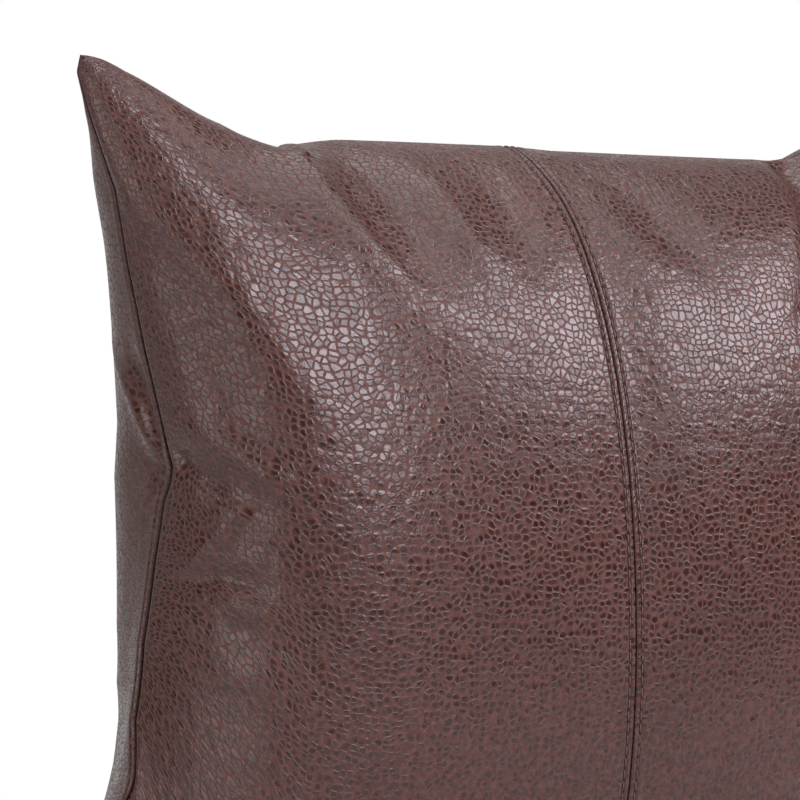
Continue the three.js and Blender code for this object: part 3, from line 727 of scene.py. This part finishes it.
def leather_material():
    n = Nodes("pebbled_leather")
    pattern = n.add("ShaderNodeUVMap", {"uv_map": "pattern"}).outputs[0]
    # groove: mask of the painted shade in the seam grooves
    groove = n.add("ShaderNodeAttribute", {"attribute_name": "groove"}).outputs["Fac"]
    ease = n.add("ShaderNodeAttribute", {"attribute_name": "ease"}).outputs["Fac"]
    place = pebble_place(n, pattern)
    flat = {"voronoi_dimensions": "2D"}
    cells = {"Scale": PEBBLES_PER_METRE, "Randomness": 0.8, "Vector": place}
    centres = n.add("ShaderNodeTexVoronoi", flat, **cells)
    edges = n.add("ShaderNodeTexVoronoi", {**flat, "feature": "DISTANCE_TO_EDGE"}, **cells)
    distance, edge = centres.outputs["Distance"], edges.outputs["Distance"]
    random = n.add("ShaderNodeSeparateColor", Color=centres.outputs["Color"])
    creases = n.flat_noise(place, 420.0, 4.0).outputs[0]
    colour = leather_colour(n, pattern, creases, distance, edge, random.outputs[0])
    # Painted shade: the colour goes near black along the seam grooves.
    n.feed(n.shader.inputs["Base Color"], n.mix(groove, colour, GROOVE_SHADE))
    dome = n.math("MULTIPLY", n.ramp(distance, 0.3, 0.75, 1.0, 0.35), n.ramp(edge, 0.01, 0.15))
    varied = n.math("MULTIPLY", random.outputs[1], 0.18)
    n.feed(n.shader.inputs["Roughness"], n.math("ADD", n.ramp(dome, 0.0, 0.8, 0.5, 0.17), varied))
    shine = n.math("MULTIPLY", n.ramp(dome, 0.0, 1.0, 0.2, 0.46), n.ramp(groove, 0.0, 0.8, 1.0, 0.1))
    n.feed(n.shader.inputs["Specular IOR Level"], shine)
    n.bump(leather_height(n, place, creases, dome), n.ramp(ease, 0.0, 1.0, 1.0, 0.15), GRAIN_DEPTH)
    return n.material


def thread_material():
    n = Nodes("thread")
    place = n.add("ShaderNodeTexCoord").outputs["Object"]
    settings = {"bands_direction": "DIAGONAL"}
    ply = n.add("ShaderNodeTexWave", settings, Vector=place, Scale=900.0, Distortion=0.6)
    colour = n.mix(ply.outputs[1], (0.05, 0.021, 0.017, 1), (0.13, 0.065, 0.056, 1))
    n.feed(n.shader.inputs["Base Color"], colour)
    n.feed(n.shader.inputs["Roughness"], n.ramp(ply.outputs[1], 0.0, 1.0, 0.45, 0.3))
    n.bump(ply.outputs[1], 0.6, 0.0001)
    return n.material


def woven_material(name, dark, light, scale, roughness):
    n = Nodes(name)
    place = n.add("ShaderNodeTexCoord").outputs["Object"]
    warp = n.add("ShaderNodeTexWave", {"bands_direction": "X"}, Vector=place, Scale=scale)
    weft = n.add("ShaderNodeTexWave", {"bands_direction": "Z"}, Vector=place, Scale=scale)
    weave = n.math("MULTIPLY", warp.outputs[1], weft.outputs[1])
    grey = n.add("ShaderNodeTexNoise", Vector=place, Scale=60.0, Detail=4.0)
    shade = n.math("MULTIPLY", n.ramp(grey.outputs[0], 0.3, 0.7, 0.75, 1.0), weave)
    n.feed(n.shader.inputs["Base Color"], n.mix(shade, dark, light))
    n.feed(n.shader.inputs["Roughness"], n.ramp(weave, 0.0, 1.0, min(roughness + 0.1, 1.0), roughness))
    n.bump(weave, 0.5, 0.0002)
    return n.material


def metal_material():
    n = Nodes("antique_brass")
    place = n.add("ShaderNodeTexCoord").outputs["Object"]
    tarnish = n.add("ShaderNodeTexNoise", Vector=place, Scale=400.0, Detail=5.0)
    mask = n.ramp(tarnish.outputs[0], 0.4, 0.65)
    n.feed(n.shader.inputs["Base Color"], n.mix(mask, (0.16, 0.115, 0.07, 1), (0.42, 0.32, 0.2, 1)))
    n.shader.inputs["Metallic"].default_value = 1.0
    n.feed(n.shader.inputs["Roughness"], n.ramp(mask, 0.0, 1.0, 0.45, 0.24))
    n.bump(tarnish.outputs[0], 0.2, 0.0001)
    return n.material


LEATHER_MATERIAL = leather_material()
THREAD_MATERIAL = thread_material()
TAPE_MATERIAL = woven_material("zip_tape", (0.016, 0.008, 0.007, 1), (0.06, 0.032, 0.027, 1), 700.0, 0.8)
COIL_MATERIAL = woven_material("zip_coil", (0.02, 0.01, 0.009, 1), (0.075, 0.04, 0.035, 1), 500.0, 0.4)
COTTON_MATERIAL = woven_material("cotton", (0.62, 0.58, 0.52, 1), (0.88, 0.85, 0.8, 1), 500.0, 0.85)
FILL_MATERIAL = woven_material("fibre", (0.75, 0.74, 0.72, 1), (0.93, 0.92, 0.9, 1), 120.0, 0.9)
METAL_MATERIAL = metal_material()


# ---------------------------------------------------------------- stitching
def stitch_paths(line, normal, pitch, gap, rise):
    """Short paths of stitches along a line on the leather, each arched between its needle holes."""
    length = running_length(line[None], 1)[0]
    paths = []
    for first in np.arange(0, length[-1] - pitch, pitch):
        t = np.linspace(0, 1, 8)
        s = first + gap / 2 + t * (pitch - gap)
        place = np.stack([np.interp(s, length, line[:, k]) for k in range(3)], 1)
        out = np.stack([np.interp(s, length, normal[:, k]) for k in range(3)], 1)
        out /= np.linalg.norm(out, axis=1, keepdims=True)
        arch = rise[0] + (rise[1] - rise[0]) * np.sin(math.pi * t) ** 0.6
        paths.append((place + out * arch[:, None], out))
    return paths


def line_along(a, b, side):
    """The sculpted surface and its normals along one column or one row of a panel."""
    beside = np.array([-0.4, 0, 0.4]) * MM / HALF_COVER
    if len(a) == 1:
        points, normal, height = (found[1] for found in cover(a[0] + beside, b, side)[:3])
    else:
        points, normal, height = (found[:, 1] for found in cover(a, b[0] + beside, side)[:3])
    return points + normal * height[:, None], normal


def centre_stitches():
    rows = np.linspace(-0.97, 0.955, 1000)
    for name, x, node in (
        ("topstitch_row_left", -TOPSTITCH_OFFSET, "topstitch_left"),
        ("topstitch_row_right", TOPSTITCH_OFFSET, "topstitch_right"),
    ):
        line, normal = line_along(np.array([x / HALF_COVER]), rows, FRONT)
        rise = (-0.7 * MM, -0.12 * MM)
        paths = stitch_paths(line[::-1], normal[::-1], STITCH_PITCH, STITCH_GAP, rise)
        finish_piece(tubes(name, paths, 0.33 * MM, THREAD_MATERIAL), node)
    line, normal = line_along(np.array([0.0]), rows, FRONT)
    paths = stitch_paths(line[::-1], normal[::-1], 3.4 * MM, 0.5 * MM, (-2.4 * MM, -2.0 * MM))
    thread = tubes("centre_seam_stitches", paths, 0.3 * MM, THREAD_MATERIAL)
    finish_piece(thread, "centre_seam_thread")


def perimeter_stitches():
    """Stitches deep in the groove where the front and back panels meet."""
    ends = np.linspace(-0.985, 0.985, 500)
    short = np.linspace(-0.985, -0.78, 60)
    runs = [
        line_along(np.array([-0.9995]), ends, FRONT),
        line_along(np.array([0.9995]), ends, FRONT),
        line_along(ends, np.array([0.9995]), FRONT),
        line_along(short, np.array([-0.9995]), FRONT),
        line_along(-short, np.array([-0.9995]), FRONT),
    ]
    paths = []
    for line, _ in runs:
        outward = (line - HEART) * [1, 0, 1]
        outward /= np.linalg.norm(outward, axis=1, keepdims=True)
        paths += stitch_paths(line, outward, 3.2 * MM, 0.5 * MM, (-2.9 * MM, -2.6 * MM))
    thread = tubes("seam_stitches", paths, 0.3 * MM, THREAD_MATERIAL)
    finish_piece(thread, "perimeter_seam_thread")


def zip_stitches():
    """A row of stitches through the leather beside each side of the zip."""
    columns = np.linspace(-ZIP_HALF, ZIP_HALF, 500) / (HALF_WIDTH - 6 * MM)
    for side, word in ((FRONT, "front"), (BACK, "back")):
        line, normal = line_along(columns, np.array([-1 + ZIP_STITCH_OFFSET / HALF_COVER]), side)
        paths = stitch_paths(line, normal, STITCH_PITCH, STITCH_GAP, (-0.3 * MM, 0.15 * MM))
        thread = tubes("zip_stitches_" + word, paths, 0.3 * MM, THREAD_MATERIAL)
        finish_piece(thread, "zipper_stitch_" + word)


# ---------------------------------------------------------------- the pillow
GRIDS = solve_cover()
FOLD_PATHS = {}
trial = np.linspace(-0.998, 0.998, 160)
for panel_side, folds in ((FRONT, FRONT_FOLDS), (BACK, BACK_FOLDS)):
    places = cover(trial, trial, panel_side, sculpted=False)[0]
    FOLD_PATHS[panel_side] = snap(folds, places, (0, 2), np.ones(places.shape[:2], bool))
flank = places[..., 0] < -160 * MM
FOLD_PATHS[BACK] += snap(FLANK_FOLDS, places, (1, 2), flank)
front_panel("leather_front_left", -1, LEATHER_MATERIAL, "front_left_panel")
front_panel("leather_front_right", 1, LEATHER_MATERIAL, "front_right_panel")
back_panel("leather_back", LEATHER_MATERIAL, "back_panel")
centre_stitches()
perimeter_stitches()
zip_stitches()
insert_pieces()

for node_name, material in {
    "care_label": COTTON_MATERIAL,
    "zipper_tape_front": TAPE_MATERIAL,
    "zipper_tape_back": TAPE_MATERIAL,
    "zipper_coil_front": COIL_MATERIAL,
    "zipper_coil_back": COIL_MATERIAL,
    "zipper_top_stop": METAL_MATERIAL,
    "zipper_bottom_stop": METAL_MATERIAL,
    "zipper_slider": METAL_MATERIAL,
    "zipper_pull_tab": METAL_MATERIAL,
}.items():
    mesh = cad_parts[node_name].data
    mesh.materials.clear()
    mesh.materials.append(material)


# ---------------------------------------------------------------- stage, light and camera
FLOOR_RADIUS = 1.8
FLOOR_SIDES = 96
COOL = (0.96, 0.92, 1.0)
PILLOW_CENTRE = Vector((0, MID_Y, 168 * MM))
CAMERA_AZIMUTH = -35
CAMERA_DISTANCE = 2.6
FIELD_WIDTH = 0.3346  # width of view at the pillow
AIM_LEFT, AIM_UP = 48 * MM, 75 * MM


def stage_floor():
    turn = np.linspace(0, 2 * math.pi, FLOOR_SIDES, endpoint=False)
    rim = FLOOR_RADIUS * np.stack([np.cos(turn), np.sin(turn), turn * 0], 1)
    mesh = bpy.data.meshes.new("floor")
    mesh.from_pydata(rim.tolist(), [], [list(range(FLOOR_SIDES))])
    n = Nodes("pale_floor")
    place = n.add("ShaderNodeTexCoord").outputs["Object"]
    tone = n.add("ShaderNodeTexNoise", Vector=place, Scale=2.0)
    colour = n.mix(tone.outputs[0], (0.62, 0.62, 0.62, 1), (0.66, 0.66, 0.66, 1))
    n.feed(n.shader.inputs["Base Color"], colour)
    n.shader.inputs["Roughness"].default_value = 0.9
    n.shader.inputs["Specular IOR Level"].default_value = 0.1
    mesh.materials.append(n.material)
    floor = bpy.data.objects.new("floor", mesh)
    bpy.context.scene.collection.objects.link(floor)


def world_light(strength):
    world = bpy.data.worlds.new("studio")
    bpy.context.scene.world = world
    world.use_nodes = True
    tree = world.node_tree
    soft = tree.nodes["Background"]
    soft.inputs["Color"].default_value = (1, 1, 1, 1)
    soft.inputs["Strength"].default_value = strength
    white = tree.nodes.new("ShaderNodeBackground")
    white.inputs["Strength"].default_value = 1.0
    white.inputs["Color"].default_value = (1, 1, 1, 1)
    seen = tree.nodes.new("ShaderNodeLightPath")
    mix = tree.nodes.new("ShaderNodeMixShader")
    tree.links.new(seen.outputs["Is Camera Ray"], mix.inputs[0])
    tree.links.new(soft.outputs[0], mix.inputs[1])
    tree.links.new(white.outputs[0], mix.inputs[2])
    tree.links.new(mix.outputs[0], tree.nodes["World Output"].inputs[0])


def direction_to(azimuth, elevation):
    """Unit vector from the pillow towards an azimuth (0 is its front, positive to +X) and elevation."""
    a, e = math.radians(azimuth), math.radians(elevation)
    return Vector((math.sin(a) * math.cos(e), -math.cos(a) * math.cos(e), math.sin(e)))


def soft_box(name, azimuth, elevation, distance, width, height, radiance, tint=(1, 1, 1)):
    light = bpy.data.lights.new(name, "AREA")
    light.color = tint
    light.shape = "RECTANGLE"
    light.size, light.size_y = width, height
    light.energy = radiance * width * height * math.pi
    lamp = bpy.data.objects.new(name, light)
    lamp.location = PILLOW_CENTRE + direction_to(azimuth, elevation) * distance
    lamp.rotation_euler = direction_to(azimuth, elevation).to_track_quat("Z", "Y").to_euler()
    lamp.visible_camera = False
    bpy.context.scene.collection.objects.link(lamp)


stage_floor()
world_light(0.13)
soft_box("overhead", 0, 88, 3.0, 4.0, 4.0, 2.5)
soft_box("key_left", -6, 26, 3.0, 1.4, 1.2, 13.0, COOL)
soft_box("key_right", 52, 34, 3.0, 1.8, 1.1, 10.5, COOL)
soft_box("fill_left", -78, 6, 3.0, 2.2, 2.4, 2.9)
soft_box("backdrop", 168, 10, 2.5, 6.5, 3.0, 0.5)


def camera():
    data = bpy.data.cameras.new("camera")
    data.sensor_width = 36
    data.lens = data.sensor_width * CAMERA_DISTANCE / FIELD_WIDTH
    data.clip_end = 100
    back = direction_to(CAMERA_AZIMUTH, 0)
    right = Vector((-back.y, back.x, 0))
    eye = bpy.data.objects.new("camera", data)
    eye.location = PILLOW_CENTRE + back * CAMERA_DISTANCE
    aim = PILLOW_CENTRE - right * AIM_LEFT + Vector((0, 0, AIM_UP))
    eye.rotation_euler = (aim - eye.location).to_track_quat("-Z", "Y").to_euler()
    bpy.context.scene.collection.objects.link(eye)
    bpy.context.scene.camera = eye


camera()
bpy.context.scene.view_settings.view_transform = "Standard"
